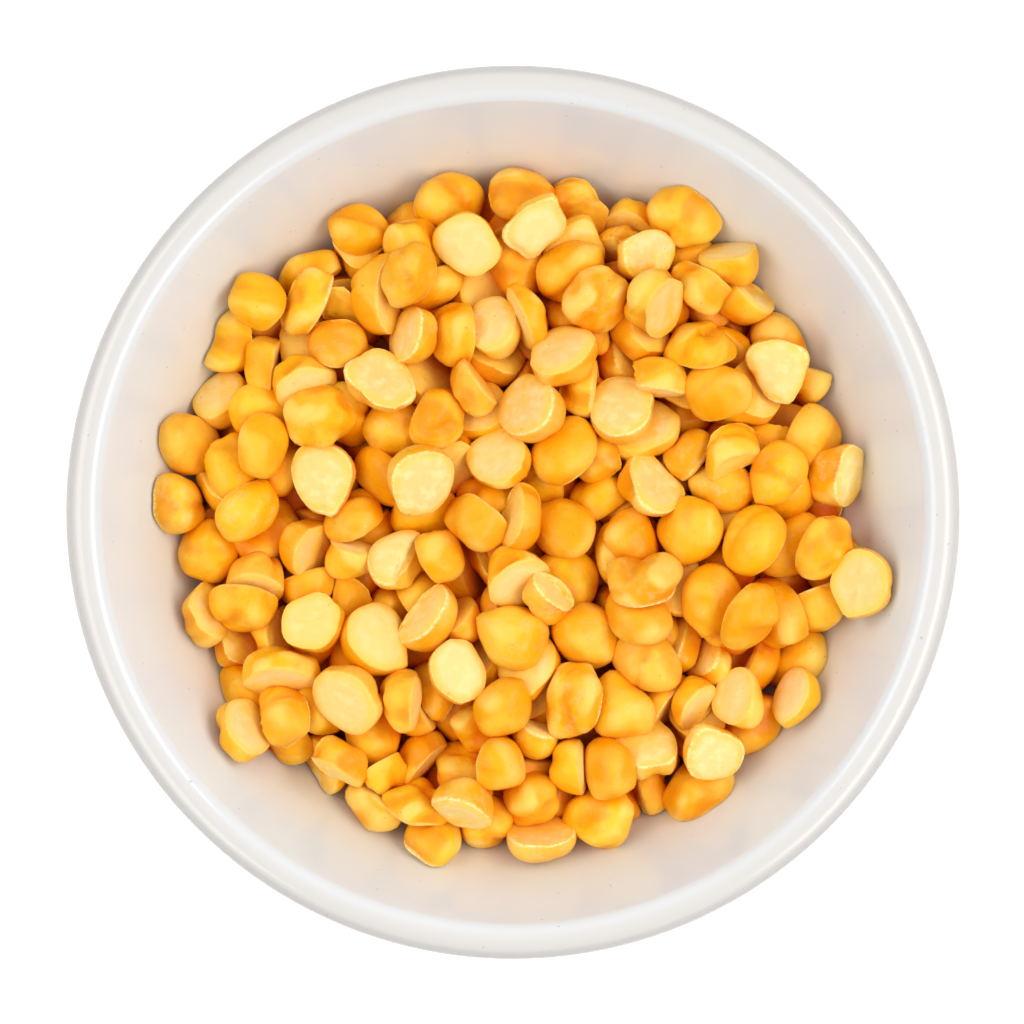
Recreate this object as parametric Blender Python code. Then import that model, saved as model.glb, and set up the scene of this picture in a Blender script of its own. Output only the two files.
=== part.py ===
"""A small white glazed bowl of dry split chickpeas, the pulse sold as chana lentils.

Units are metres and +Z is up. The origin is the centre of the foot ring's underside.
The bowl is turned from arcs. The heap is one solid: a turned core that fills the bowl,
with the split chickpeas that show laid on it by a seeded rule and fused to it.
"""

import math
import random

import bmesh
import bpy
from mathutils import Matrix, Vector

# Bowl
RIM_RADIUS = 0.042
BOWL_HEIGHT = 0.0290
LIP_RADIUS = 0.00185
WALL = 0.0030
WALL_ANGLE_AT_LIP = math.radians(66)
WALL_ARC = 0.040
LIP_UNDERCUT = math.radians(-50)
LIP_TO_WALL = 0.0026
FOOT_RADIUS = 0.0190
FOOT_WIDTH = 0.0030
FOOT_ROUNDING = 0.0005
FOOT_HOLLOW = 0.0015
BOWL_SIDES = 52
WALL_STEPS = 9
LIP_STEPS = 8
BOWL_SHARP_ANGLE = math.radians(40)

# Heap
HEAP_RADIUS = 0.0324
CORE_EDGE_HEIGHT = 0.0166
CORE_RISE = 0.0012
CORE_SIDES = 24
CORE_RINGS = 5
CORE_WALL_STEPS = 5
GAP_TO_BOWL = 0.0004
HEAP_SHARP_ANGLE = math.radians(60)

# Split chickpeas
PIECE_LENGTH = (0.0060, 0.0076)
PIECE_ROUNDNESS = (0.82, 0.97)
PIECE_THICKNESS = (0.0029, 0.0037)
PIECE_COUNT = 164
PIECE_SHIFT = 0.0007
PIECE_SIDES = 7
FUSED_DEPTH = 0.0006
STACKING = 0.5
MOST_LIFT = 0.0030
OUTLINE_UNEVEN = 0.05
BEAK = 1.12
BROKEN_SHARE = 0.12
BREAK_SLANT = 0.3
DOME_UP_SHARE = 0.45
FACE_UP_SHARE = 0.35
LEVEL_TILT = math.radians(20)
EDGE_TILT = (math.radians(55), math.radians(85))
SEED = 11

# The dome's shoulder: share of the thickness above the cut face, share of the radius.
SHOULDER = (0.6, 0.86)
GOLDEN_ANGLE = math.pi * (3 - math.sqrt(5))

GLAZE_COLOUR = (0.84, 0.82, 0.79, 1.0)
GLAZE_ROUGHNESS = 0.15
CHICKPEA_COLOUR = (0.95, 0.52, 0.07, 1.0)
CHICKPEA_ROUGHNESS = 0.45
MERGE_DISTANCE = 1e-6


def on_arc(centre, radius, angle):
    """The point of an arc, as radius and height, where its tangent rises at this angle."""
    return Vector((centre.x + radius * math.sin(angle), centre.y - radius * math.cos(angle)))


LIP_CENTRE = Vector((RIM_RADIUS - LIP_RADIUS, BOWL_HEIGHT - LIP_RADIUS))
INTO_BOWL = Vector((-math.sin(WALL_ANGLE_AT_LIP), math.cos(WALL_ANGLE_AT_LIP)))
WALL_TOP = LIP_CENTRE + LIP_RADIUS * INTO_BOWL
WALL_CENTRE = WALL_TOP + WALL_ARC * INTO_BOWL
FLOOR_HEIGHT = WALL_CENTRE.y - WALL_ARC


def wall_radius(height):
    """The inner wall's radius at this height."""
    return WALL_CENTRE.x + math.sqrt(WALL_ARC**2 - (WALL_CENTRE.y - height) ** 2)


def wall_points(outwards, top_height, count):
    """Points down the wall from this height to its foot, as radius and height.

    The wall is the inner one, set this far outwards.
    """
    arc = WALL_ARC + outwards
    top_angle = math.acos((WALL_CENTRE.y - top_height) / arc)
    return [on_arc(WALL_CENTRE, arc, angle) for angle in steps(top_angle, 0.0, count)]


def steps(start, end, count):
    """Evenly spaced values from start to end, both included."""
    return [start + (end - start) * i / count for i in range(count + 1)]


def material(name, colour, roughness):
    made = bpy.data.materials.new(name)
    made.use_nodes = True
    shader = made.node_tree.nodes["Principled BSDF"]
    shader.inputs["Base Color"].default_value = colour
    shader.inputs["Roughness"].default_value = roughness
    return made


def add_object(name, bm, collection):
    """The mesh as an object in the collection, with its points merged and its faces turned out."""
    bmesh.ops.remove_doubles(bm, verts=bm.verts, dist=MERGE_DISTANCE)
    bmesh.ops.recalc_face_normals(bm, faces=bm.faces)
    mesh = bpy.data.meshes.new(name)
    bm.to_mesh(mesh)
    bm.free()
    made = bpy.data.objects.new(name, mesh)
    collection.objects.link(made)
    return made


def finish_surface(made, look, sharp_angle):
    """Gives a sub-part its material, shaded smooth but for its sharp edges."""
    made.data.materials.append(look)
    made.data.shade_smooth()
    made.data.set_sharp_from_angle(angle=sharp_angle)


def turned(profile, sides):
    """A closed solid turned round Z from points of radius and height that begin and end on the axis."""
    bm = bmesh.new()
    rings = [bm.verts.new((point.x, 0, point.y)) for point in profile]
    edges = [bm.edges.new(pair) for pair in zip(rings, rings[1:])]
    bmesh.ops.spin(
        bm,
        geom=rings + edges,
        cent=(0, 0, 0),
        axis=(0, 0, 1),
        angle=math.tau,
        steps=sides,
        use_merge=True,
    )
    return bm


def bowl_profile():
    """From the middle of the floor up the inside, over the lip, down the outside and under the foot."""
    inside = wall_points(0.0, WALL_TOP.y, WALL_STEPS)[::-1]
    lip = [
        LIP_CENTRE + LIP_RADIUS * Vector((math.cos(angle), math.sin(angle)))
        for angle in steps(math.pi / 2 + WALL_ANGLE_AT_LIP, LIP_UNDERCUT, LIP_STEPS)
    ]
    outside = [
        point
        for point in wall_points(WALL, LIP_CENTRE.y - LIP_TO_WALL, WALL_STEPS)
        if point.x > FOOT_RADIUS + FOOT_ROUNDING
    ]
    foot = [
        Vector((FOOT_RADIUS, FOOT_ROUNDING)),
        Vector((FOOT_RADIUS - FOOT_ROUNDING, 0)),
        Vector((FOOT_RADIUS - FOOT_WIDTH, 0)),
        Vector((FOOT_RADIUS - FOOT_WIDTH - FOOT_ROUNDING, FOOT_HOLLOW)),
    ]
    shoulder = WALL_CENTRE.y - math.sqrt((WALL_ARC + WALL) ** 2 - (FOOT_RADIUS - WALL_CENTRE.x) ** 2)
    return [
        Vector((0, FLOOR_HEIGHT)),
        *inside,
        *lip[1:],
        *outside,
        Vector((FOOT_RADIUS, shoulder)),
        *foot,
        Vector((0, FOOT_HOLLOW)),
    ]


def make_bowl():
    turned_bowl = turned(bowl_profile(), BOWL_SIDES)
    bowl = add_object("bowl", turned_bowl, bpy.context.scene.collection)
    finish_surface(bowl, material("glaze", GLAZE_COLOUR, GLAZE_ROUGHNESS), BOWL_SHARP_ANGLE)


def core_height(radius):
    """The height of the core's domed top, this far from its axis."""
    return CORE_EDGE_HEIGHT + CORE_RISE * (1 - (radius / HEAP_RADIUS) ** 2)


def core_profile():
    """The bare heap below its pieces, clear of the bowl, from its underside round to its top."""
    edge = wall_radius(CORE_EDGE_HEIGHT) - GAP_TO_BOWL
    sides = wall_points(-GAP_TO_BOWL, core_height(edge), CORE_WALL_STEPS)[::-1]
    top = [Vector((radius, core_height(radius))) for radius in steps(edge, 0.0, CORE_RINGS)]
    return [Vector((0, FLOOR_HEIGHT + GAP_TO_BOWL)), *sides, *top[1:]]


def split_chickpea(draw, length, width, thickness):
    """Half a chickpea, its cut face down and its beak towards +X, or a broken quarter of one."""
    bm = bmesh.new()
    uneven = [1 + draw.uniform(-OUTLINE_UNEVEN, OUTLINE_UNEVEN) for _ in range(PIECE_SIDES)]
    uneven[0] *= BEAK
    rings = []
    for rise, share in ((0.0, 1.0), SHOULDER):
        ring = []
        for side in range(PIECE_SIDES):
            angle = math.tau * side / PIECE_SIDES
            reach = share * uneven[side] / 2
            ring.append(
                bm.verts.new(
                    (
                        length * reach * math.cos(angle),
                        width * reach * math.sin(angle),
                        thickness * rise,
                    )
                )
            )
        rings.append(ring)
    crown = bm.verts.new((0, 0, thickness))
    bm.faces.new(rings[0][::-1])
    for side in range(PIECE_SIDES):
        after = (side + 1) % PIECE_SIDES
        for lower, upper in zip(rings, rings[1:]):
            bm.faces.new((lower[side], lower[after], upper[after], upper[side]))
        bm.faces.new((rings[-1][side], rings[-1][after], crown))
    if draw.random() < BROKEN_SHARE:
        break_across(bm, draw)
    return bm


def break_across(bm, draw):
    """Keeps one side of a split chickpea that broke near its middle."""
    angle = draw.uniform(0, math.tau)
    cut = bmesh.ops.bisect_plane(
        bm,
        geom=bm.verts[:] + bm.edges[:] + bm.faces[:],
        plane_co=(0, 0, 0),
        plane_no=(math.cos(angle), math.sin(angle), draw.uniform(-BREAK_SLANT, BREAK_SLANT)),
        clear_outer=True,
    )
    edges = [item for item in cut["geom_cut"] if isinstance(item, bmesh.types.BMEdge)]
    bmesh.ops.edgeloop_fill(bm, edges=edges)


def piece_tilt(draw):
    """How far a piece is tipped from lying dome up: a little, right over, or on its edge."""
    kind = draw.random()
    if kind > DOME_UP_SHARE + FACE_UP_SHARE:
        return draw.uniform(*EDGE_TILT)
    tilt = draw.gauss(0, LEVEL_TILT)
    if kind > DOME_UP_SHARE:
        tilt += math.pi
    return tilt


def piece_places(draw):
    """Places over the heap, seen from above: an even spiral whose points are each shifted a little."""
    places = []
    for number in range(PIECE_COUNT):
        radius = HEAP_RADIUS * math.sqrt((number + 0.5) / PIECE_COUNT)
        angle = number * GOLDEN_ANGLE
        place = Vector((radius * math.cos(angle), radius * math.sin(angle)))
        shift = Vector((draw.gauss(0, PIECE_SHIFT), draw.gauss(0, PIECE_SHIFT)))
        places.append(place + shift)
    return places


def keep_off_wall(bm):
    """Moves the points that would reach the bowl in towards the axis, up to the gap."""
    for vert in bm.verts:
        reach = vert.co.xy.length
        most = wall_radius(vert.co.z) - GAP_TO_BOWL
        if reach > most:
            vert.co.xy *= most / reach


def rest_height(piece, laid):
    """The height at which a piece comes to rest on the core and on the pieces laid before it."""
    core = core_height(piece["place"].length)
    height = core + piece["rise"]
    for other in laid:
        apart = (piece["place"] - other["place"]).length
        reach = piece["reach"] + other["reach"]
        if apart < reach:
            lift = (piece["rise"] + other["rise"]) * math.sqrt(1 - (apart / reach) ** 2)
            height = max(height, other["height"] + STACKING * lift)
    return min(height - FUSED_DEPTH, core + MOST_LIFT)


def lay_pieces(collection):
    """Lays the pieces on the heap one after another, in the collection that is fused."""
    draw = random.Random(SEED)
    places = piece_places(draw)
    draw.shuffle(places)
    laid = []
    for place in places:
        length = draw.uniform(*PIECE_LENGTH)
        width = length * draw.uniform(*PIECE_ROUNDNESS)
        thickness = draw.uniform(*PIECE_THICKNESS)
        tilt = piece_tilt(draw)
        flat = (length + width) / 4
        piece = {
            "place": place,
            "reach": math.hypot(flat * math.cos(tilt), thickness / 2 * math.sin(tilt)),
            "rise": math.hypot(flat * math.sin(tilt), thickness / 2 * math.cos(tilt)),
        }
        piece["height"] = rest_height(piece, laid)
        laid.append(piece)
        bm = split_chickpea(draw, length, width, thickness)
        bm.transform(
            Matrix.Translation((place.x, place.y, piece["height"]))
            @ Matrix.Rotation(draw.uniform(0, math.tau), 4, "Z")
            @ Matrix.Rotation(tilt, 4, "X")
            @ Matrix.Rotation(draw.uniform(0, math.tau), 4, "Z")
            @ Matrix.Translation((0, 0, -thickness / 2))
        )
        keep_off_wall(bm)
        add_object(f"piece_{len(laid)}", bm, collection)


def largest_shell(bm):
    """Deletes all but the largest shell: the sealed hollows and any loose scrap."""
    unseen = set(bm.verts)
    shells = []
    while unseen:
        todo = [unseen.pop()]
        shell = set(todo)
        while todo:
            for edge in todo.pop().link_edges:
                for vert in edge.verts:
                    if vert in unseen:
                        unseen.remove(vert)
                        shell.add(vert)
                        todo.append(vert)
        shells.append(shell)
    largest = max(shells, key=len)
    bmesh.ops.delete(bm, geom=[v for v in bm.verts if v not in largest], context="VERTS")


def fuse_pieces(core, pieces):
    """Joins the pieces to the core as one solid, then removes them."""
    union = core.modifiers.new("union", "BOOLEAN")
    union.operation = "UNION"
    union.solver = "MANIFOLD"
    union.operand_type = "COLLECTION"
    union.collection = pieces
    bpy.context.view_layer.update()
    fused = core.evaluated_get(bpy.context.evaluated_depsgraph_get())
    bm = bmesh.new()
    bm.from_mesh(fused.to_mesh())
    largest_shell(bm)
    core.modifiers.remove(union)
    bm.to_mesh(core.data)
    bm.free()
    for piece in list(pieces.objects):
        bpy.data.objects.remove(piece)
    bpy.data.collections.remove(pieces)


def make_heap():
    scene = bpy.context.scene
    heap = add_object("lentils", turned(core_profile(), CORE_SIDES), scene.collection)
    pieces = bpy.data.collections.new("pieces")
    scene.collection.children.link(pieces)
    lay_pieces(pieces)
    fuse_pieces(heap, pieces)
    look = material("split_chickpea", CHICKPEA_COLOUR, CHICKPEA_ROUGHNESS)
    finish_surface(heap, look, HEAP_SHARP_ANGLE)


def main():
    for old in list(bpy.data.objects):
        bpy.data.objects.remove(old)
    make_bowl()
    make_heap()


main()
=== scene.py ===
"""The looks of a small white glazed bowl of dry split chickpeas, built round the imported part.

Units are metres. The photograph looks straight down: its right is +X and its top is +Y.
The split chickpeas fall into the bowl in a short simulation of balls that stand in for them. Each
one then gets its own detailed mesh where it came to rest.
"""

import math
import random

import bmesh
import bpy
import numpy as np
from mathutils import Matrix, Quaternion, Vector


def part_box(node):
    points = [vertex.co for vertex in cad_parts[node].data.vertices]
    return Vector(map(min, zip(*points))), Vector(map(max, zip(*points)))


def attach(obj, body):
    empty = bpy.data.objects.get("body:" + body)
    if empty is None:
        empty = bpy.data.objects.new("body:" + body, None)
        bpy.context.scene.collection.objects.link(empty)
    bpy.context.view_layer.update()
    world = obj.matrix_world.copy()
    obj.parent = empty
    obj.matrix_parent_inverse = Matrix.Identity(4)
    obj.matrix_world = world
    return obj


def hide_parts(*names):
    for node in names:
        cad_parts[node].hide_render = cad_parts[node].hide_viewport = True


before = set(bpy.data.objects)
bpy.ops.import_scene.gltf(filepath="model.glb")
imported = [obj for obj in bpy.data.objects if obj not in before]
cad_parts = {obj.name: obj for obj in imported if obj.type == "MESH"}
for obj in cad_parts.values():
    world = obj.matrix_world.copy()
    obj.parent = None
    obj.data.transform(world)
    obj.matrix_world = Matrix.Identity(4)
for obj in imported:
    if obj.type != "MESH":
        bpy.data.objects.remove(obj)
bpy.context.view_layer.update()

# Bowl, as in the part
BOWL_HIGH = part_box("bowl")[1]
RIM_RADIUS = BOWL_HIGH[0]
BOWL_HEIGHT = BOWL_HIGH[2]
LIP_RADIUS = 0.00185
WALL = 0.0030
WALL_ANGLE_AT_LIP = math.radians(66)
WALL_ARC = 0.040
LIP_UNDERCUT = math.radians(-50)
LIP_TO_WALL = 0.0026
FOOT_RADIUS = 0.0190
FOOT_WIDTH = 0.0030
FOOT_ROUNDING = 0.0005
FOOT_HOLLOW = 0.0015
BOWL_SIDES = 160
WALL_STEPS = 26
LIP_STEPS = 22

# Core under the loose pieces
CORE_EDGE_HEIGHT = 0.0134
CORE_RISE = 0.0012
CORE_GAP = 0.0002
CORE_SIDES = 96
CORE_RINGS = 26
CORE_BUMP = 0.0010
CORE_BUMP_SIZE = 0.0055
ABOVE_EDGE = 1e-5

# Split chickpeas: how many, their sizes, and how many are of each kind
PIECE_COUNT = 348
PIECE_LENGTH = (0.0058, 0.0074)
PIECE_ROUNDNESS = (0.77, 0.95)
PIECE_THICKNESS = (0.0030, 0.0038)
PIECE_SIDES = 32
BROKEN_SHARE = 0.16
SLIVER_SHARE = 0.05
WRINKLED_SHARE = 0.34
FURROWED_SHARE = 0.35
CREASED_SHARE = 0.12
CHIPPED_SHARE = 0.3
WORN_SHARE = 0.27
WORN = (0.55, 1.0)
UNWORN = (0.0, 0.3)
MIDDLE_SHARE = 0.42
SEED = 7

# Their outline, in shares of half a length: egg shape, lobes, the beak and a chip
EGG_SHAPE = (-0.03, 0.06)
LOBE_COUNTS = (3, 4, 5)
LOBE_HEIGHT = (0.0, 0.032)
BEAK_HEIGHT = (0.02, 0.15)
BEAK_SIDE = (-0.35, 0.35)
BEAK_WIDTH = 0.20
CHIP_DEPTH = (0.04, 0.10)
CHIP_WIDTH = 0.26

# Their cut face and its rim
FACE_DISH = (-0.00030, 0.00022)
FACE_SPACING = 0.9
CREASE_DEPTH = 0.00012
CREASE_WIDTH = 0.00022
CREASE_LENGTH_SHARE = 0.3
RIM_TUCK = math.radians(-20)
RIM_BAND = 0.10
RIM_WAVE_COUNTS = (6, 9, 13)
RIM_WAVE_HEIGHT = (0, 0.010)
RIM_WAVE_RISE = 0.003
RIM_DROP = (0.00008, 0.00036)
RIM_DROP_FROM = 0.72

# Their dome: how square it is, where neighbours pressed it flat, furrows and waves
BOXINESS = (0.46, 0.80)
FLATS = 2
FLAT_RISE = (0.0, math.radians(70))
FLAT_PLACE = (0.80, 0.99)
FLAT_SOFTNESS = 0.00040
FLAT_SHARE = 0.6
FURROW_SHIFT = (-0.2, 0.2)
FURROW_BOW = (-60, 60)
FURROW_DEPTH = (0.00022, 0.00052)
FURROW_WIDTH = (0.00040, 0.0008)
WAVES = 5
WAVINESS = 0.00008
WRINKLED_WAVINESS = 0.00017
WAVE_SIZE = (0.0022, 0.0060)
WAVE_SPREAD = (0.4, 1.3)
USUAL_WAVE_SIZE = 0.004
WAVE_CENTRE_SHARE = 0.3
FACE_CALM = 0.6
HOLLOW_DEPTH = 0.0004

# Their breaks: places in shares of a length, and how rough the broken surface is
BREAK_PLACE = (-0.08, 0.25)
SLIVER_PLACES = ((-0.05, 0.12), (0.0, 0.25))
BREAK_SLANT = 0.35
COARSE_GRAIN = 0.00010
COARSE_WAVE = (2900.0, 1700.0, 2300.0)
FINE_GRAIN = 0.00006
FINE_WAVE = (-3700.0, 4100.0, 5200.0)

# Levels of a piece's rows: -1 is the middle of the cut face, 0 its rim and 1 the crown of the dome
FACE_LEVELS = (-0.72, -0.46, -0.27, -0.14, -0.055)
DOME_LEVELS = (0.0, 0.045, 0.13, 0.23, 0.34, 0.46, 0.58, 0.7, 0.82, 0.92)
FINE_LEVELS = FACE_LEVELS + DOME_LEVELS

# What a piece's mesh holds at each point for its material, drawn once for the piece or worked out
DRAWN_VALUES = ("tone", "warmth", "wear", "ring")
PIECE_VALUES = ("cut", "rim", "broken", "out", "hollow", "depth", *DRAWN_VALUES)

# How deep a point lies in the heap, for the painted shade that darkens points lying deep
DEPTH_CELL = 0.0016
FULL_SHADE_DEPTH = 0.0060

# Fall into the bowl, in steps of this many seconds, with balls that stand in for a piece's shape
STEP = 0.001
FALL_STEPS = 500
PASSES = 5
GRAVITY = 9.81
LAYER_PIECES = 39
LAYER_STEP = 0.0062
POUR_START = 0.021
POUR_RADIUS = 0.0328
POUR_SPREAD = 0.001
DOME_UP_SHARE = 0.34
ON_EDGE_SHARE = 0.20
START_TILT = math.radians(32)
BALL_LEVELS = (0.06, 0.5)
BALL_SIDES = 8
BALL_SIZES = (0.00075, 0.0012)
BALL_SHARE = 0.6
GYRATION = 0.0021
PUSH_SHARE = 1.5
HOLD = 0.85
MOST_MOVE = 0.0008
LOOK_EVERY = 4
LOOK_REACH = 0.0012
NEAR_PIECES = PIECE_LENGTH[1] * 1.1
NO_ZERO = 1e-12

# Glaze: painted bounce light and shade near the pieces, and painted shade over the lip and outside, darkest
# at the lip's outer edge
PAINTED_BOUNCE_FADE = (0.0320, 0.0390)
PAINTED_LIP_SHADE_START = 0.0002
PAINTED_EDGE_SHADE_START = 0.0008

# Softboxes: azimuth and elevation in degrees, width and height, and radiance
RIGHT_SOFTBOX = (-6, 49, 0.82, 0.26, 4.15)
LEFT_SOFTBOX = (188, 48, 0.85, 0.30, 2.65)
SOFTBOX_COLOUR = (1.0, 1.0, 0.99)
SOFTBOX_DISTANCE = 0.6

# Studio: half the floor's width, its glow, and how bright the air is overhead and at the upper side
FLOOR_HALF = 1.5
FLOOR_GLOW = 0.35
OVERHEAD_GLOW = (0.19, 0.50)
UPPER_SIDE_GLOW = 0.34

# Camera
PHOTO_SIZE = 1024
BOWL_CENTRE_PIXEL = (513.0, 512.3)
RIM_RADIUS_PIXELS = 447.0
CAMERA_DISTANCE = 0.46
SENSOR = 0.036


def srgb(red, green, blue, alpha=1.0):
    """A colour given as 0 to 255 on screen, as the linear values that shaders take."""
    linear = []
    for value in (red, green, blue):
        share = value / 255
        linear.append(share / 12.92 if share <= 0.04045 else ((share + 0.055) / 1.055) ** 2.4)
    return (*linear, alpha)


def steps(start, end, count):
    return [start + (end - start) * i / count for i in range(count + 1)]


def on_arc(centre, radius, angle):
    """The point of an arc, as radius and height, where its tangent rises at this angle."""
    return Vector((centre.x + radius * math.sin(angle), centre.y - radius * math.cos(angle)))


LIP_CENTRE = Vector((RIM_RADIUS - LIP_RADIUS, BOWL_HEIGHT - LIP_RADIUS))
INTO_BOWL = Vector((-math.sin(WALL_ANGLE_AT_LIP), math.cos(WALL_ANGLE_AT_LIP)))
WALL_TOP = LIP_CENTRE + LIP_RADIUS * INTO_BOWL
WALL_CENTRE = WALL_TOP + WALL_ARC * INTO_BOWL
FLOOR_HEIGHT = WALL_CENTRE.y - WALL_ARC


def wall_radius(height):
    """The inner wall's radius at this height."""
    return WALL_CENTRE.x + math.sqrt(max(WALL_ARC**2 - (WALL_CENTRE.y - height) ** 2, 0.0))


def wall_points(outwards, top_height, count):
    """Points down the wall, set this far outwards, from this height to its foot."""
    arc = WALL_ARC + outwards
    top_angle = math.acos((WALL_CENTRE.y - top_height) / arc)
    return [on_arc(WALL_CENTRE, arc, angle) for angle in steps(top_angle, 0.0, count)]


def bowl_profile():
    """From the middle of the floor up the inside, over the lip, down the outside and under the foot."""
    inside = wall_points(0.0, WALL_TOP.y, WALL_STEPS)[::-1]
    lip = [
        LIP_CENTRE + LIP_RADIUS * Vector((math.cos(angle), math.sin(angle)))
        for angle in steps(math.pi / 2 + WALL_ANGLE_AT_LIP, LIP_UNDERCUT, LIP_STEPS)
    ]
    outside = [
        point
        for point in wall_points(WALL, LIP_CENTRE.y - LIP_TO_WALL, WALL_STEPS)
        if point.x > FOOT_RADIUS + FOOT_ROUNDING
    ]
    foot_inside = FOOT_RADIUS - FOOT_WIDTH
    foot = [
        Vector((FOOT_RADIUS, FOOT_ROUNDING)),
        Vector((FOOT_RADIUS - FOOT_ROUNDING * 0.3, FOOT_ROUNDING * 0.3)),
        Vector((FOOT_RADIUS - FOOT_ROUNDING, 0)),
        Vector((foot_inside, 0)),
        Vector((foot_inside - FOOT_ROUNDING, FOOT_HOLLOW)),
    ]
    shoulder = WALL_CENTRE.y - math.sqrt((WALL_ARC + WALL) ** 2 - (FOOT_RADIUS - WALL_CENTRE.x) ** 2)
    return [
        Vector((0, FLOOR_HEIGHT)),
        *inside,
        *lip[1:],
        *outside,
        Vector((FOOT_RADIUS, shoulder)),
        *foot,
        Vector((0, FOOT_HOLLOW)),
    ]


def add_object(name, mesh):
    made = bpy.data.objects.new(name, mesh)
    bpy.context.scene.collection.objects.link(made)
    return made


def turned(name, profile, sides):
    """A closed solid turned round Z from points of radius and height that begin and end on the axis."""
    bm = bmesh.new()
    rings = [bm.verts.new((point.x, 0, point.y)) for point in profile]
    edges = [bm.edges.new(pair) for pair in zip(rings, rings[1:])]
    bmesh.ops.spin(
        bm,
        geom=rings + edges,
        cent=(0, 0, 0),
        axis=(0, 0, 1),
        angle=math.tau,
        steps=sides,
        use_merge=True,
    )
    bmesh.ops.remove_doubles(bm, verts=bm.verts, dist=1e-7)
    bmesh.ops.recalc_face_normals(bm, faces=bm.faces)
    mesh = bpy.data.meshes.new(name)
    bm.to_mesh(mesh)
    bm.free()
    mesh.shade_smooth()
    mesh.set_sharp_from_angle(angle=math.radians(50))
    return add_object(name, mesh)


def core_profile():
    """The core's outline: along the bowl's inside, a gap away from it, and over its own domed top."""
    edge = wall_radius(CORE_EDGE_HEIGHT) - CORE_GAP
    sides = wall_points(-CORE_GAP, CORE_EDGE_HEIGHT, WALL_STEPS)[::-1]
    top = [
        Vector((radius, CORE_EDGE_HEIGHT + CORE_RISE * (1 - (radius / edge) ** 2)))
        for radius in steps(edge, 0.0, CORE_RINGS)
    ]
    return [Vector((0, FLOOR_HEIGHT + CORE_GAP)), *sides, *top[1:]]


def make_core():
    """What lies under the loose pieces: a filling with bumps of their size."""
    core = turned("lentil_core", core_profile(), CORE_SIDES)
    wave = math.tau / CORE_BUMP_SIZE
    for vert in core.data.vertices:
        x, y, z = vert.co
        if z > CORE_EDGE_HEIGHT + ABOVE_EDGE:
            along_x = math.sin(wave * x + 2 * math.sin(wave * y / 3))
            along_y = math.sin(wave * y + 2 * math.sin(wave * x / 3))
            bump = along_x * along_y
            vert.co.z = z + CORE_BUMP * bump - CORE_BUMP
    return core


def new_piece(draw):
    """Draws everything that one split chickpea's shape and colour depend on."""
    length = draw.uniform(*PIECE_LENGTH)
    thickness = draw.uniform(*PIECE_THICKNESS)
    kind = draw.random()
    piece = {
        "kind": "half",
        "length": length,
        "width": length * draw.uniform(*PIECE_ROUNDNESS),
        "thickness": thickness,
        "egg": draw.uniform(*EGG_SHAPE),
        "lobes": [new_ripple(draw, count, LOBE_HEIGHT) for count in LOBE_COUNTS],
        "beak": draw.uniform(*BEAK_HEIGHT),
        "beak_side": draw.uniform(*BEAK_SIDE),
        "chip": draw.uniform(*CHIP_DEPTH) if draw.random() < CHIPPED_SHARE else 0.0,
        "chip_side": draw.uniform(0, math.tau),
        "flats": [new_flat(draw) for _ in range(FLATS)],
        "boxiness": draw.uniform(*BOXINESS),
        "rim_drop": draw.uniform(*RIM_DROP),
        "rim_waves": [new_ripple(draw, count, RIM_WAVE_HEIGHT) for count in RIM_WAVE_COUNTS],
        "dish": draw.uniform(*FACE_DISH),
        "furrow": None,
        "crease": 0.0,
        "breaks": [],
        "tone": draw.random(),
        "warmth": draw.random(),
        "wear": draw.uniform(*WORN) if draw.random() < WORN_SHARE else draw.uniform(*UNWORN),
        "ring": draw.random(),
    }
    waviness = WAVINESS
    if draw.random() < WRINKLED_SHARE:
        piece["kind"] = "wrinkled"
        waviness = WRINKLED_WAVINESS
    piece["waves"] = [new_wave(draw, waviness) for _ in range(WAVES)]
    if piece["kind"] == "wrinkled" or draw.random() < FURROWED_SHARE:
        piece["furrow"] = {
            "angle": draw.uniform(0, math.tau),
            "shift": draw.uniform(*FURROW_SHIFT) * length,
            "bow": draw.uniform(*FURROW_BOW),
            "depth": draw.uniform(*FURROW_DEPTH),
            "width": draw.uniform(*FURROW_WIDTH),
        }
    if draw.random() < CREASED_SHARE:
        piece["crease"] = CREASE_DEPTH
    if kind < SLIVER_SHARE:
        piece["kind"] = "sliver"
        piece["breaks"] = [new_break(draw, place) for place in SLIVER_PLACES]
    elif kind < SLIVER_SHARE + BROKEN_SHARE:
        piece["kind"] = "broken"
        piece["breaks"] = [new_break(draw, BREAK_PLACE)]
    return piece


def new_ripple(draw, count, height):
    """A ripple that goes round a piece's outline this many times: its count, height and phase."""
    return count, draw.uniform(*height), draw.uniform(0, math.tau)


def new_wave(draw, height):
    """A plane wave that makes a piece's surface uneven."""
    direction = Vector((draw.gauss(0, 1), draw.gauss(0, 1), draw.gauss(0, 1))).normalized()
    size = draw.uniform(*WAVE_SIZE)
    return {
        "direction": tuple(direction * (math.tau / size)),
        "phase": draw.uniform(0, math.tau),
        "height": height * draw.uniform(*WAVE_SPREAD) * size / USUAL_WAVE_SIZE,
    }


def new_flat(draw):
    """A plane that a neighbour pressed a piece flat along: its outward direction and its place."""
    angle = draw.uniform(0, math.tau)
    rise = draw.uniform(*FLAT_RISE)
    direction = Vector((math.cos(angle) * math.cos(rise), math.sin(angle) * math.cos(rise), math.sin(rise)))
    return {"direction": tuple(direction), "place": draw.uniform(*FLAT_PLACE)}


def new_break(draw, place):
    """A plane that a piece broke along: its outward direction, and its place as a share of the length."""
    angle = draw.uniform(0, math.tau)
    slant = draw.uniform(-BREAK_SLANT, BREAK_SLANT)
    direction = Vector((math.cos(angle), math.sin(angle), slant)).normalized()
    return {"direction": tuple(direction), "place": draw.uniform(*place)}


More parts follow.
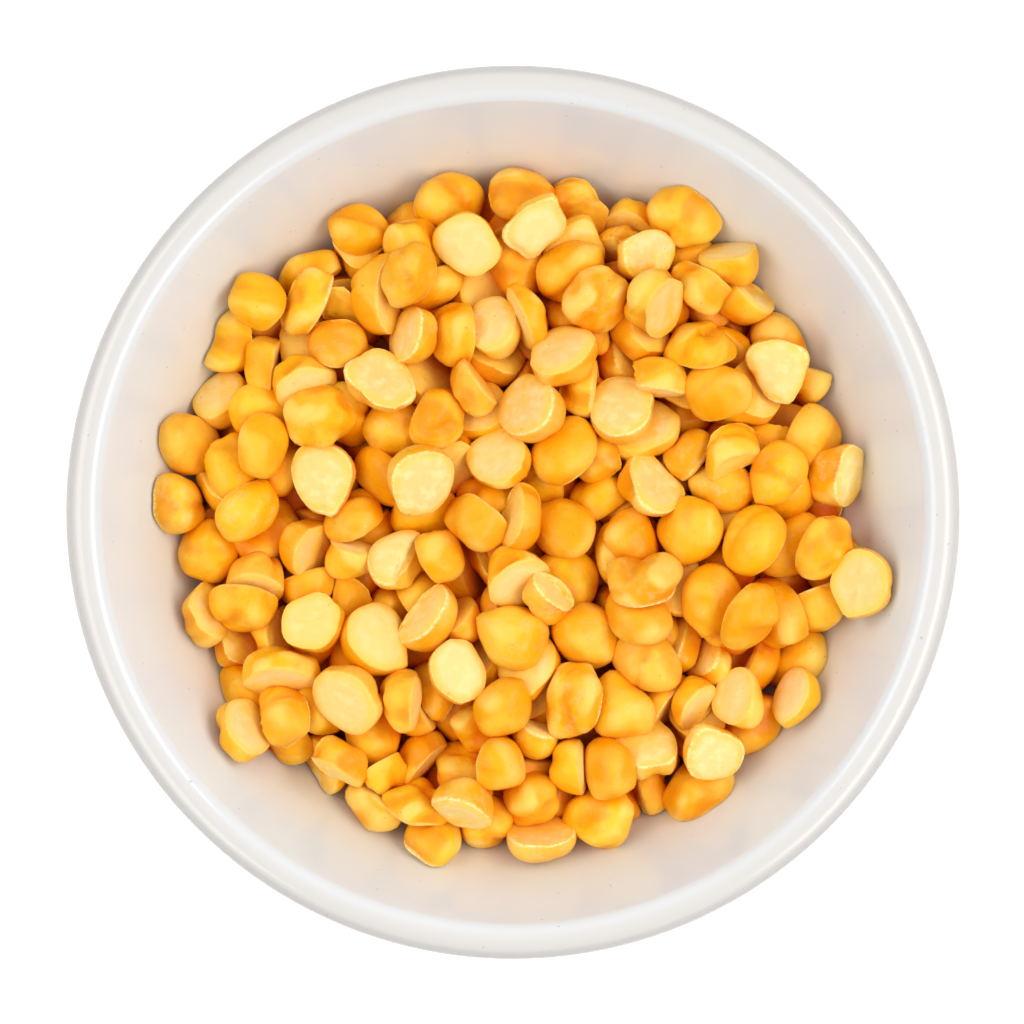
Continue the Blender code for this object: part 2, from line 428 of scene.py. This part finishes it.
def piece_points(piece, levels, sides):
    """The points of a piece, row by row from its cut face to its crown, with a point at either end.

    Also gives, for each point, how much it belongs to the cut face, to its rim and to a break, how
    far out it lies on the cut face, and how far it lies in a hollow or on a bulge.
    """
    angle = np.arange(sides) * math.tau / sides
    outline = 1 + piece["egg"] * np.cos(angle)
    for count, height, phase in piece["lobes"]:
        outline = outline + height * np.cos(count * angle + phase)
    beak = piece["beak"] * bump_at(angle, piece["beak_side"], BEAK_WIDTH)
    chip = piece["chip"] * bump_at(angle, piece["chip_side"], CHIP_WIDTH)
    rim_wave = np.zeros(sides)
    for count, height, phase in piece["rim_waves"]:
        rim_wave = rim_wave + height * np.cos(count * angle + phase)
    low = math.sin(RIM_TUCK)
    rim_share = math.cos(RIM_TUCK) ** piece["boxiness"]
    points, cut, rim, out = [], [], [], []

    def add_row(share, height, cut_value, rim_value, beak_value):
        reach = share * (outline + beak_value * beak - beak_value * chip) + rim_value * rim_wave
        row = np.stack(
            [
                piece["length"] / 2 * reach * np.cos(angle),
                piece["width"] / 2 * reach * np.sin(angle),
                np.full(sides, height) + rim_value * rim_wave * RIM_WAVE_RISE,
            ],
            axis=1,
        )
        points.append(row)
        cut.append(np.full(sides, cut_value))
        rim.append(np.full(sides, rim_value))
        out.append(np.full(sides, share / rim_share if cut_value else 1.0))

    def face_height(share):
        near_rim = max(0.0, (share - RIM_DROP_FROM) / (1 - RIM_DROP_FROM))
        return piece["dish"] * (1 - share**2) + piece["rim_drop"] * near_rim**2

    def add_end(height, cut_value):
        points.append(np.array([[0.0, 0.0, height]]))
        cut.append(np.full(1, cut_value))
        rim.append(np.zeros(1))
        out.append(np.full(1, 1 - cut_value))

    rim_height = face_height(1)
    add_end(face_height(0), 1.0)
    for level in levels:
        nearness = max(0.0, 1 - abs(level) / RIM_BAND)
        if level < 0:
            share = (1 + level) ** FACE_SPACING
            add_row(rim_share * share, face_height(share), 1.0, nearness, 1.0)
        else:
            rise = RIM_TUCK + (math.pi / 2 - RIM_TUCK) * level
            share = math.cos(rise) ** piece["boxiness"]
            height = rim_height + (piece["thickness"] - rim_height) * (math.sin(rise) - low) / (1 - low)
            add_row(share, height, 0.5 if level == 0 else 0.0, nearness, math.cos(rise) ** 2)
    add_end(piece["thickness"], 0.0)
    points, cut, rim, out = (np.concatenate(part) for part in (points, cut, rim, out))
    points, hollow = roughen(piece, points, cut)
    points = press_flat(piece, points)
    points, broken = break_off(piece, points)
    points[:, 2] -= piece["thickness"] * MIDDLE_SHARE
    return points, {"cut": cut, "rim": rim, "broken": broken, "out": out, "hollow": hollow}


def bump_at(angle, middle, width):
    """A smooth bump round this angle."""
    away = (angle - middle + math.pi) % math.tau - math.pi
    return np.exp(-((away / width) ** 2))


def press_flat(piece, points):
    """Moves most of what lies beyond each flat back to it, with a soft edge."""
    half = np.array([piece["length"] / 2, piece["width"] / 2, piece["thickness"]])
    for flat in piece["flats"]:
        direction = np.array(flat["direction"])
        reach = flat["place"] * np.linalg.norm(half * direction)
        beyond = points @ direction - reach
        moved = (beyond + np.sqrt(beyond**2 + FLAT_SOFTNESS**2)) / 2
        points = points - FLAT_SHARE * moved[:, None] * direction
    return points


def roughen(piece, points, cut):
    """Adds the waves, the furrow over the dome and the crease across the cut face.

    Also gives how hollow each point lies, from 0 on a bulge to 1 in a dent.
    """
    middle = np.array([0.0, 0.0, piece["thickness"] * WAVE_CENTRE_SHARE])
    out = points - middle
    out /= np.linalg.norm(out, axis=1)[:, None]
    shift = np.zeros(len(points))
    for wave in piece["waves"]:
        shift += wave["height"] * np.sin(points @ np.array(wave["direction"]) + wave["phase"])
    shift *= 1 - FACE_CALM * cut
    high = np.clip(points[:, 2] / piece["thickness"], 0, 1)
    furrow = piece["furrow"]
    if furrow:
        across = points[:, 0] * math.cos(furrow["angle"]) + points[:, 1] * math.sin(furrow["angle"])
        along = points[:, 1] * math.cos(furrow["angle"]) - points[:, 0] * math.sin(furrow["angle"])
        away = across - furrow["shift"] - furrow["bow"] * along**2
        shift -= furrow["depth"] * np.exp(-((away / furrow["width"]) ** 2)) * high
    points = points + out * shift[:, None]
    if piece["crease"]:
        inside = np.abs(points[:, 0]) < CREASE_LENGTH_SHARE * piece["length"]
        ridge = np.exp(-((points[:, 1] / CREASE_WIDTH) ** 2)) * inside
        points[:, 2] -= piece["crease"] * ridge * cut
    return points, np.clip(0.5 - shift / (2 * HOLLOW_DEPTH), 0, 1)


def break_off(piece, points):
    """Moves what lies beyond each break back to its uneven surface."""
    broken = np.zeros(len(points))
    for number, fracture in enumerate(piece["breaks"]):
        direction = np.array(fracture["direction"])
        rough = COARSE_GRAIN * np.sin(points @ np.array(COARSE_WAVE) + number)
        rough += FINE_GRAIN * np.sin(points @ np.array(FINE_WAVE) + piece["tone"] * 9)
        beyond = points @ direction - fracture["place"] * piece["length"] + rough
        moved = np.clip(beyond, 0, None)
        points = points - direction * moved[:, None]
        broken = np.maximum(broken, (moved > 0) * 1.0)
    return points, broken


def piece_faces(rows, sides):
    """The faces that join the rows of one piece and close its two ends."""
    faces = []
    last = rows * sides + 1
    for side in range(sides):
        after = (side + 1) % sides
        faces.append((0, 1 + after, 1 + side))
        for row in range(rows - 1):
            below, above = 1 + row * sides, 1 + (row + 1) * sides
            faces.append((below + side, below + after, above + after, above + side))
        top = 1 + (rows - 1) * sides
        faces.append((top + side, top + after, last))
    return faces


def detailed(piece, place):
    """A piece's finished points where it lies, and the values that its material needs at each one."""
    points, values = piece_points(piece, FINE_LEVELS, PIECE_SIDES)
    points = points @ np.array(place.to_3x3()).T + np.array(place.translation)
    for key in DRAWN_VALUES:
        values[key] = np.full(len(points), piece[key])
    return points, values


def add_painted_shade_depth(kinds):
    """Works out how deep each point lies below the heap's surface, from a grid of the highest points, for
    the painted shade.
    """
    cells = math.ceil(RIM_RADIUS / DEPTH_CELL)
    grid = np.zeros((2 * cells + 1, 2 * cells + 1))

    def cell_of(points):
        place = np.round(points[:, :2] / DEPTH_CELL).astype(int) + cells
        return place[:, 0], place[:, 1]

    for placed in kinds.values():
        for points, _ in placed:
            np.maximum.at(grid, cell_of(points), points[:, 2])
    sides = [np.roll(grid, step, axis) for step in (-1, 1) for axis in (0, 1)]
    surface = (2 * grid + sum(sides)) / 6
    for placed in kinds.values():
        for points, values in placed:
            values["depth"] = np.clip((surface[cell_of(points)] - points[:, 2]) / FULL_SHADE_DEPTH, 0, 1)


def joined_mesh(name, placed):
    """One mesh of many pieces."""
    faces = piece_faces(len(FINE_LEVELS), PIECE_SIDES)
    all_faces = []
    start = 0
    for points, _ in placed:
        all_faces.extend(tuple(start + index for index in face) for face in faces)
        start += len(points)
    mesh = bpy.data.meshes.new(name)
    mesh.from_pydata(np.concatenate([points for points, _ in placed]).tolist(), [], all_faces)
    for key in placed[0][1]:
        attribute = mesh.attributes.new(key, "FLOAT", "POINT")
        whole = np.concatenate([values[key] for _, values in placed])
        attribute.data.foreach_set("value", whole.astype(np.float32))
    mesh.shade_smooth()
    mesh.set_sharp_from_angle(angle=math.radians(55))
    return add_object(name, mesh)


def start_turn(draw):
    """How a piece is turned when it is let go: dome up, on edge or cut face up, and leaning."""
    chance = draw.random()
    tilt = math.pi
    if chance < DOME_UP_SHARE:
        tilt = 0.0
    elif chance < DOME_UP_SHARE + ON_EDGE_SHARE:
        tilt = math.pi / 2
    side = draw.uniform(0, math.tau)
    lean = Quaternion((math.cos(side), math.sin(side), 0), draw.gauss(tilt, START_TILT))
    return lean @ Quaternion((0, 0, 1), draw.uniform(0, math.tau))


def start_places(draw):
    """Where the pieces are let go: layer over layer above the bowl."""
    places = []
    for number in range(PIECE_COUNT):
        layer = number // LAYER_PIECES
        radius = POUR_RADIUS * math.sqrt((number % LAYER_PIECES + 0.5) / LAYER_PIECES)
        angle = number * math.pi * (3 - math.sqrt(5)) + layer
        height = POUR_START + layer * LAYER_STEP + draw.uniform(0, POUR_SPREAD)
        spot = Matrix.Translation((radius * math.cos(angle), radius * math.sin(angle), height))
        places.append(spot @ start_turn(draw).to_matrix().to_4x4())
    return places


def piece_balls(piece):
    """Balls that fill a piece: two rings just inside its surface and one in its middle."""
    points = piece_points(piece, BALL_LEVELS, BALL_SIDES)[0]
    middle = points.mean(axis=0)
    face = points[:, 2].min()
    middles, sizes = [], []
    for number, size in enumerate(BALL_SIZES):
        for point in points[1 + number * BALL_SIDES : 1 + (number + 1) * BALL_SIDES]:
            inwards = middle - point
            reach = np.linalg.norm(inwards)
            size_here = min(size, BALL_SHARE * reach)
            ball = point + inwards / reach * size_here
            ball[2] = max(ball[2], face + size_here)
            middles.append(ball)
            sizes.append(size_here)
    middles.append(middle)
    sizes.append(np.linalg.norm(points - middle, axis=1).min())
    return np.array(middles), np.array(sizes)


def near_pairs(spot, balls, size):
    """The pairs of balls, of two different pieces, that may touch soon."""
    apart = np.linalg.norm(spot[:, None] - spot[None], axis=2)
    first, second = np.nonzero(np.triu(apart < NEAR_PIECES, 1))
    gap = np.linalg.norm(balls[first][:, :, None] - balls[second][:, None], axis=3)
    gap -= size[first][:, :, None] + size[second][:, None]
    pair, one, other = np.nonzero(gap < LOOK_REACH)
    count = balls.shape[1]
    return first[pair] * count + one, second[pair] * count + other


def floor_height(radius):
    """The height of the core's top at this radius."""
    return CORE_EDGE_HEIGHT + CORE_RISE * (1 - (radius / wall_radius(CORE_EDGE_HEIGHT)) ** 2)


def touches(balls, size, pairs):
    """Every overlap: the balls, which way it pushes them, and how deep it is. Ball -1 is the bowl."""
    first, second = pairs
    apart = balls[first] - balls[second]
    distance = np.linalg.norm(apart, axis=1)
    found = [(first, second, apart / distance[:, None], size[first] + size[second] - distance)]
    radius = np.hypot(balls[:, 0], balls[:, 1])
    number = np.arange(len(balls))
    bowl = np.full(len(balls), -1)
    upwards = np.tile([0.0, 0.0, 1.0], (len(balls), 1))
    found.append((number, bowl, upwards, floor_height(radius) + size - balls[:, 2]))
    out = np.maximum(radius - WALL_CENTRE.x, 0)
    up = balls[:, 2] - WALL_CENTRE.y
    far = np.hypot(out, up)
    inwards = -np.stack([out * balls[:, 0] / radius, out * balls[:, 1] / radius, up], axis=1) / far[:, None]
    found.append((number, bowl, inwards, far + size - WALL_ARC))
    one, other, way, depth = (np.concatenate(part) for part in zip(*found))
    hit = depth > 0
    return one[hit], other[hit], way[hit], depth[hit]


def turned_by(turn, vector):
    """The rotation matrices turned further by these rotation vectors."""
    angle = np.linalg.norm(vector, axis=1)[:, None, None] + NO_ZERO
    x, y, z = vector.T
    none = np.zeros(len(vector))
    across = np.stack([none, -z, y, z, none, -x, -y, x, none], axis=1).reshape(-1, 3, 3)
    step = np.eye(3) + np.sin(angle) / angle * across + (1 - np.cos(angle)) / angle**2 * (across @ across)
    return step @ turn


def turn_between(before, after):
    """The small rotation vectors that lead from the one rotation matrices to the other."""
    change = after @ before.transpose(0, 2, 1)
    x = change[:, 2, 1] - change[:, 1, 2]
    y = change[:, 0, 2] - change[:, 2, 0]
    z = change[:, 1, 0] - change[:, 0, 1]
    return 0.5 * np.stack([x, y, z], axis=1)


def total(values, owner, count):
    """The sum of the vectors of each owner."""
    return np.stack([np.bincount(owner, values[:, axis], count) for axis in range(3)], axis=1)


def placed_balls(spot, turn, local):
    """Where each piece's balls are when the piece is here and turned like this."""
    return spot[:, None] + local @ turn.transpose(0, 2, 1)


def push_apart(spot, turn, local, size, pairs):
    """Pushes the pieces out of each other and out of the bowl once, and says which were touched.

    Every push also turns the piece that it acts on.
    """
    count, each = local.shape[:2]
    balls = placed_balls(spot, turn, local).reshape(-1, 3)
    one, other, way, depth = touches(balls, size.reshape(-1), pairs)
    arm_one = np.cross(balls[one] - spot[one // each], way) / GYRATION
    arm_other = np.cross(balls[other] - spot[other // each], way) / GYRATION
    loose = other >= 0
    resist = 1 + (arm_one**2).sum(axis=1) + loose * (1 + (arm_other**2).sum(axis=1))
    strength = (depth / resist)[:, None]
    owner = np.concatenate([one // each, other[loose] // each])
    push = np.concatenate([strength * way, -strength[loose] * way[loose]])
    twist = np.concatenate([strength * arm_one, -strength[loose] * arm_other[loose]]) / GYRATION
    hits = np.bincount(owner, minlength=count)
    share = (PUSH_SHARE / np.maximum(hits, PUSH_SHARE))[:, None]
    spot = spot + share * total(push, owner, count)
    turn = turned_by(turn, share * total(twist, owner, count))
    return spot, turn, hits > 0


def settle(pieces, places):
    """Lets the pieces fall into the bowl, and gives where each comes to rest.

    Each step moves the pieces on, then pushes them apart and back into the bowl. Touching pieces
    lose some of their speed to friction.
    """
    fills = [piece_balls(piece) for piece in pieces]
    local = np.array([middles for middles, _ in fills])
    size = np.array([sizes for _, sizes in fills])
    turn = np.array([np.array(place.to_3x3()) for place in places])
    spot = np.array([np.array(place.translation) for place in places])
    move, spin = np.zeros((len(pieces), 3)), np.zeros((len(pieces), 3))
    for step in range(FALL_STEPS):
        if step % LOOK_EVERY == 0:
            pairs = near_pairs(spot, placed_balls(spot, turn, local), size)
        spot_before, turn_before = spot, turn
        move[:, 2] -= GRAVITY * STEP**2
        length = np.linalg.norm(move, axis=1)[:, None]
        move *= np.minimum(1, MOST_MOVE / np.maximum(length, NO_ZERO))
        spot = spot + move
        turn = turned_by(turn, spin)
        touched = np.zeros(len(pieces), bool)
        for _ in range(PASSES):
            spot, turn, hit = push_apart(spot, turn, local, size, pairs)
            touched |= hit
        keep = np.where(touched, HOLD, 1.0)[:, None]
        move = (spot - spot_before) * keep
        spin = turn_between(turn_before, turn) * keep
    return [
        Matrix.Translation(place) @ Matrix(matrix).to_4x4()
        for place, matrix in zip(spot.tolist(), turn.tolist())
    ]


def make_lentils():
    """The loose pieces, one mesh for each kind, where they came to rest."""
    draw = random.Random(SEED)
    pieces = [new_piece(draw) for _ in range(PIECE_COUNT)]
    rest = settle(pieces, start_places(draw))
    kinds = {}
    for piece, place in zip(pieces, rest):
        middle = place.translation
        if middle.xy.length > wall_radius(middle.z) or middle.z < FLOOR_HEIGHT:
            continue
        points, values = detailed(piece, place)
        if points[:, 2].max() < BOWL_HEIGHT:
            kinds.setdefault(piece["kind"], []).append((points, values))
    add_painted_shade_depth(kinds)
    return [joined_mesh(f"lentils_{kind}", placed) for kind, placed in sorted(kinds.items())]


def add_node(tree, kind, inputs=None, **settings):
    """A shader node, with its settings, and its inputs set or linked by name or number."""
    made = tree.nodes.new(kind)
    for key, value in settings.items():
        setattr(made, key, value)
    for key, value in (inputs or {}).items():
        if isinstance(value, bpy.types.NodeSocket):
            tree.links.new(value, made.inputs[key])
        else:
            made.inputs[key].default_value = value
    return made


def noise(tree, place, size, detail=3.0, roughness=0.5):
    """Noise whose bumps are about this many metres across."""
    inputs = {"Vector": place, "Scale": 1 / size, "Detail": detail, "Roughness": roughness}
    return add_node(tree, "ShaderNodeTexNoise", inputs).outputs["Fac"]


def value_of(tree, name):
    """A value that the mesh holds for each of its points."""
    return add_node(tree, "ShaderNodeAttribute", attribute_name=name).outputs["Fac"]


def ease(tree, value, low, high, to_low=0.0, to_high=1.0):
    """The value taken smoothly from one range to another, and held at its ends."""
    inputs = {"Value": value, "From Min": low, "From Max": high, "To Min": to_low, "To Max": to_high}
    return add_node(tree, "ShaderNodeMapRange", inputs, interpolation_type="SMOOTHSTEP").outputs["Result"]


def maths(tree, operation, first, second):
    return add_node(tree, "ShaderNodeMath", {0: first, 1: second}, operation=operation).outputs[0]


def vector_maths(tree, operation, first, second=(0.0, 0.0, 0.0)):
    return add_node(tree, "ShaderNodeVectorMath", {0: first, 1: second}, operation=operation)


def blend_colour(tree, factor, first, second, kind="MIX"):
    made = add_node(tree, "ShaderNodeMix", data_type="RGBA", blend_type=kind)
    for socket, value in ((made.inputs[0], factor), (made.inputs[6], first), (made.inputs[7], second)):
        if isinstance(value, bpy.types.NodeSocket):
            tree.links.new(value, socket)
        else:
            socket.default_value = value
    return made.outputs[2]


def new_material(name):
    """A new material, its node tree and its shader."""
    made = bpy.data.materials.new(name)
    made.use_nodes = True
    tree = made.node_tree
    return made, tree, tree.nodes["Principled BSDF"]


def skin_colour(tree, value, broad, middle):
    """Golden skin, paler in broad patches, with painted sheen that pales its bulges and painted shade that
    deepens its hollows.
    """
    hollow = value["hollow"]
    skin = blend_colour(tree, value["tone"], srgb(248, 187, 28), srgb(240, 157, 6))
    skin = blend_colour(tree, ease(tree, value["warmth"], 0.84, 1.0, 0.0, 0.8), skin, srgb(243, 177, 64))
    skin = blend_colour(tree, ease(tree, broad, 0.42, 0.66, 0.0, 0.5), skin, srgb(250, 200, 72))
    skin = blend_colour(tree, ease(tree, middle, 0.52, 0.72, 0.0, 0.2), skin, srgb(236, 136, 0))
    # Painted shade: the skin turns deeper orange in its hollows
    skin = blend_colour(tree, ease(tree, hollow, 0.55, 1.0, 0.0, 0.6), skin, srgb(232, 134, 0))
    # Painted sheen: the skin turns paler on its bulges
    return blend_colour(tree, ease(tree, hollow, 0.45, 0.10, 0.0, 0.7), skin, srgb(250, 209, 104))


def face_colour(tree, value, middle):
    """The pale dry cut face: on some pieces with a deeper middle, and yellower towards its rim."""
    out = value["out"]
    face = blend_colour(tree, value["tone"], srgb(248, 217, 156), srgb(246, 205, 114))
    face = blend_colour(tree, ease(tree, value["warmth"], 0.72, 1.0, 0.0, 0.8), face, srgb(244, 201, 112))
    ringed = ease(tree, value["ring"], 0.62, 0.72, 0.0, 0.6)
    inner = maths(tree, "MULTIPLY", ease(tree, out, 0.80, 0.66), ringed)
    face = blend_colour(tree, inner, face, srgb(242, 199, 124))
    face = blend_colour(tree, ease(tree, middle, 0.45, 0.7, 0.0, 0.22), face, srgb(249, 225, 172))
    return blend_colour(tree, ease(tree, out, 0.62, 1.0, 0.0, 0.75), face, srgb(247, 194, 64))


def white_share(tree, value, middle, fine):
    """How chalky each point is: along worn rims, in scuffs, and in small flecks."""
    wear = value["wear"]
    worn = ease(tree, wear, 0.1, 0.7, 0.14, 0.85)
    chalk = maths(tree, "MULTIPLY", ease(tree, value["rim"], 0.35, 0.9), worn)
    chalk = maths(tree, "MULTIPLY", chalk, ease(tree, fine, 0.34, 0.58, 0.2, 1.0))
    scuffs = maths(tree, "MULTIPLY", ease(tree, middle, 0.46, 0.72), ease(tree, wear, 0.4, 0.9, 0.0, 0.42))
    scuffs = maths(tree, "MULTIPLY", scuffs, ease(tree, fine, 0.36, 0.56, 0.35, 1.0))
    scuffs = maths(tree, "MULTIPLY", scuffs, ease(tree, value["cut"], 0.0, 1.0, 0.55, 1.0))
    flecks = ease(tree, fine, 0.75, 0.80, 0.0, 0.4)
    return maths(tree, "MAXIMUM", maths(tree, "MAXIMUM", chalk, scuffs), flecks)


def lentil_material():
    """Waxy golden skin, a paler dry cut face, some chalky rims and scuffs, and painted shade: deeper,
    redder colour on points deep in the heap.
    """
    made, tree, shader = new_material("dry_split_chickpea")
    place = add_node(tree, "ShaderNodeTexCoord").outputs["Object"]
    value = {name: value_of(tree, name) for name in PIECE_VALUES}
    broad = noise(tree, place, 0.0030, 0.0)
    middle = noise(tree, place, 0.0011, 1.0)
    fine = noise(tree, place, 0.00030, 1.0, 0.6)
    skin = skin_colour(tree, value, broad, middle)
    face = face_colour(tree, value, middle)
    white = white_share(tree, value, middle, fine)
    colour = blend_colour(tree, ease(tree, value["cut"], 0.35, 0.65), skin, face)
    colour = blend_colour(tree, ease(tree, value["broken"], 0.3, 0.8, 0.0, 0.55), colour, face)
    colour = blend_colour(tree, white, colour, srgb(254, 230, 162))
    dots = ease(tree, noise(tree, place, 0.0004, 0.0), 0.83, 0.87, 0.0, 0.35)
    colour = blend_colour(tree, dots, colour, srgb(150, 92, 30))
    # Painted shade: points that lie deep in the heap are darkened to a deeper, redder orange, as shaded
    # gaps between pieces look
    low = ease(tree, value["depth"], 0.06, 0.40)
    colour = blend_colour(tree, low, colour, srgb(255, 240, 150), "MULTIPLY")
    deep = ease(tree, value["depth"], 0.36, 1.0, 0.0, 0.9)
    colour = blend_colour(tree, deep, colour, srgb(237, 144, 22), "MULTIPLY")
    tree.links.new(colour, shader.inputs["Base Color"])
    rough = ease(tree, value["cut"], 0.3, 0.7, 0.34, 0.56)
    rough = maths(tree, "ADD", rough, maths(tree, "MULTIPLY", white, 0.2))
    tree.links.new(rough, shader.inputs["Roughness"])
    bumps = noise(tree, place, 0.00080, 1.0)
    bump = add_node(tree, "ShaderNodeBump", {"Height": bumps, "Strength": 0.4, "Distance": 0.00022})
    tree.links.new(bump.outputs["Normal"], shader.inputs["Normal"])
    shader.inputs["Specular IOR Level"].default_value = 0.20
    return made


def painted_shade_core_material():
    """The filling between the lowest pieces, coloured a dark warm brown as painted shade, seen only in the
    gaps.
    """
    made, tree, shader = new_material("lentil_core_painted_shade")
    place = add_node(tree, "ShaderNodeTexCoord").outputs["Object"]
    patch = noise(tree, place, 0.0035, 3.0)
    # Painted shade: the filling takes the dark brown of shaded gaps, not the pieces' own colour
    colour = blend_colour(tree, ease(tree, patch, 0.35, 0.65), srgb(150, 70, 6), srgb(196, 107, 12))
    tree.links.new(colour, shader.inputs["Base Color"])
    bump = add_node(tree, "ShaderNodeBump", {"Height": patch, "Strength": 0.6, "Distance": 0.0008})
    tree.links.new(bump.outputs["Normal"], shader.inputs["Normal"])
    shader.inputs["Roughness"].default_value = 0.6
    return made


def glaze_material():
    """White glaze with faint clouds and tiny specks; painted bounce light and shade warm it near the
    pieces, painted shade greys the lip and outside.
    """
    made, tree, shader = new_material("white_glaze_painted_light")
    place = add_node(tree, "ShaderNodeTexCoord").outputs["Object"]
    flat = vector_maths(tree, "MULTIPLY", place, (1.0, 1.0, 0.0)).outputs["Vector"]
    radius = vector_maths(tree, "LENGTH", flat).outputs["Value"]
    cloud = noise(tree, place, 0.012, 0.0)
    upper = blend_colour(tree, ease(tree, cloud, 0.35, 0.7), srgb(228, 235, 241), srgb(227, 233, 238))
    # Painted bounce light and shade: the glaze turns a warm tan towards the pieces, as their orange light
    # and shade fall on the wall
    colour = blend_colour(tree, ease(tree, radius, *PAINTED_BOUNCE_FADE), srgb(218, 209, 194), upper)
    axis = (WALL_CENTRE.x, 0.0, WALL_CENTRE.y)
    height = add_node(tree, "ShaderNodeSeparateXYZ", {"Vector": place}).outputs["Z"]
    across = add_node(tree, "ShaderNodeCombineXYZ", {"X": radius, "Z": height}).outputs[0]
    from_axis = vector_maths(tree, "DISTANCE", across, axis).outputs["Value"]
    # Painted shade: the outside and the lip are greyer, taking off light they catch more than the inner
    # wall, and the lip's outer edge darkest
    outside = ease(tree, from_axis, WALL_ARC + 0.2 * WALL, WALL_ARC + 0.8 * WALL)
    colour = blend_colour(tree, outside, colour, srgb(216, 213, 209))
    lip = ease(tree, radius, WALL_TOP.x - PAINTED_LIP_SHADE_START, LIP_CENTRE.x)
    colour = blend_colour(tree, lip, colour, srgb(211, 208, 205))
    edge = ease(tree, radius, LIP_CENTRE.x + PAINTED_EDGE_SHADE_START, RIM_RADIUS)
    colour = blend_colour(tree, edge, colour, srgb(178, 174, 170))
    specks = ease(tree, noise(tree, place, 0.00050, 0.0), 0.845, 0.87, 0.0, 0.4)
    colour = blend_colour(tree, specks, colour, srgb(150, 136, 120))
    tree.links.new(colour, shader.inputs["Base Color"])
    tree.links.new(ease(tree, cloud, 0.3, 0.7, 0.13, 0.19), shader.inputs["Roughness"])
    bump = add_node(tree, "ShaderNodeBump", {"Height": cloud, "Strength": 0.2, "Distance": 0.0008})
    tree.links.new(bump.outputs["Normal"], shader.inputs["Normal"])
    shader.inputs["Specular IOR Level"].default_value = 0.46
    return made


def dress(piece, material, node):
    """Gives a piece its material, hangs it under the root body, and hides the part's node that it stands in
    for.
    """
    piece.data.materials.clear()
    piece.data.materials.append(material)
    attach(piece, "root")
    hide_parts(node)


def make_floor():
    """A plain pale table that glows a little, as a lit studio table does."""
    mesh = bpy.data.meshes.new("floor")
    half = FLOOR_HALF
    corners = [(-half, -half, 0), (half, -half, 0), (half, half, 0), (-half, half, 0)]
    mesh.from_pydata(corners, [], [(0, 1, 2, 3)])
    floor = add_object("floor", mesh)
    made, tree, shader = new_material("pale_table")
    place = add_node(tree, "ShaderNodeTexCoord").outputs["Object"]
    grain = noise(tree, place, 0.05, 2.0)
    colour = blend_colour(tree, grain, srgb(250, 250, 250), srgb(247, 247, 247))
    tree.links.new(colour, shader.inputs["Base Color"])
    shader.inputs["Roughness"].default_value = 0.7
    shader.inputs["Emission Color"].default_value = (1.0, 1.0, 1.0, 1.0)
    shader.inputs["Emission Strength"].default_value = FLOOR_GLOW
    mesh.materials.append(made)


def add_softbox(name, azimuth, elevation, width, height, radiance):
    """A soft area light that faces the bowl's mouth from this direction."""
    light = bpy.data.lights.new(name, "AREA")
    light.shape = "RECTANGLE"
    light.size, light.size_y = width, height
    light.energy = radiance * math.pi * width * height
    light.color = SOFTBOX_COLOUR
    turn, rise = math.radians(azimuth), math.radians(elevation)
    away = Vector((math.cos(turn) * math.cos(rise), math.sin(turn) * math.cos(rise), math.sin(rise)))
    made = bpy.data.objects.new(name, light)
    bpy.context.scene.collection.objects.link(made)
    made.location = Vector((0, 0, BOWL_HEIGHT)) + away * SOFTBOX_DISTANCE
    made.rotation_euler = away.to_track_quat("Z", "Y").to_euler()


def make_lights():
    """Two softboxes, and air that is brighter overhead and towards the upper side of the photograph."""
    add_softbox("softbox_right", *RIGHT_SOFTBOX)
    add_softbox("softbox_left", *LEFT_SOFTBOX)
    world = bpy.data.worlds.new("studio")
    bpy.context.scene.world = world
    world.use_nodes = True
    tree = world.node_tree
    direction = add_node(tree, "ShaderNodeTexCoord").outputs["Generated"]
    split = add_node(tree, "ShaderNodeSeparateXYZ", {"Vector": direction})
    overhead = ease(tree, split.outputs["Z"], 0.0, 0.9, *OVERHEAD_GLOW)
    upper_side = maths(tree, "MULTIPLY", split.outputs["Z"], split.outputs["Y"])
    strength = maths(tree, "ADD", overhead, ease(tree, upper_side, -0.3, 0.5, 0.0, UPPER_SIDE_GLOW))
    background = tree.nodes["Background"]
    background.inputs["Color"].default_value = (1.0, 1.0, 1.0, 1.0)
    tree.links.new(strength, background.inputs["Strength"])


def make_camera():
    """Straight above the bowl, placed and zoomed so that its rim falls where the photograph has it."""
    camera = bpy.data.cameras.new("camera")
    camera.sensor_width = SENSOR * 1000
    rim_pixels_per_metre = RIM_RADIUS_PIXELS / RIM_RADIUS
    camera.lens = rim_pixels_per_metre / PHOTO_SIZE * SENSOR * CAMERA_DISTANCE * 1000
    camera.clip_start, camera.clip_end = 0.01, 10
    made = bpy.data.objects.new("camera", camera)
    bpy.context.scene.collection.objects.link(made)
    right = (BOWL_CENTRE_PIXEL[0] - PHOTO_SIZE / 2) / rim_pixels_per_metre
    down = (BOWL_CENTRE_PIXEL[1] - PHOTO_SIZE / 2) / rim_pixels_per_metre
    made.location = (-right, down, LIP_CENTRE.y + CAMERA_DISTANCE)
    bpy.context.scene.camera = made


def main():
    bowl = turned("glazed_bowl", bowl_profile(), BOWL_SIDES)
    dress(bowl, glaze_material(), "bowl")
    dress(make_core(), painted_shade_core_material(), "lentils")
    chickpea = lentil_material()
    for piece in make_lentils():
        dress(piece, chickpea, "lentils")
    make_floor()
    make_lights()
    make_camera()
    bpy.context.scene.view_settings.view_transform = "Standard"


main()

bpy.context.view_layer.update()
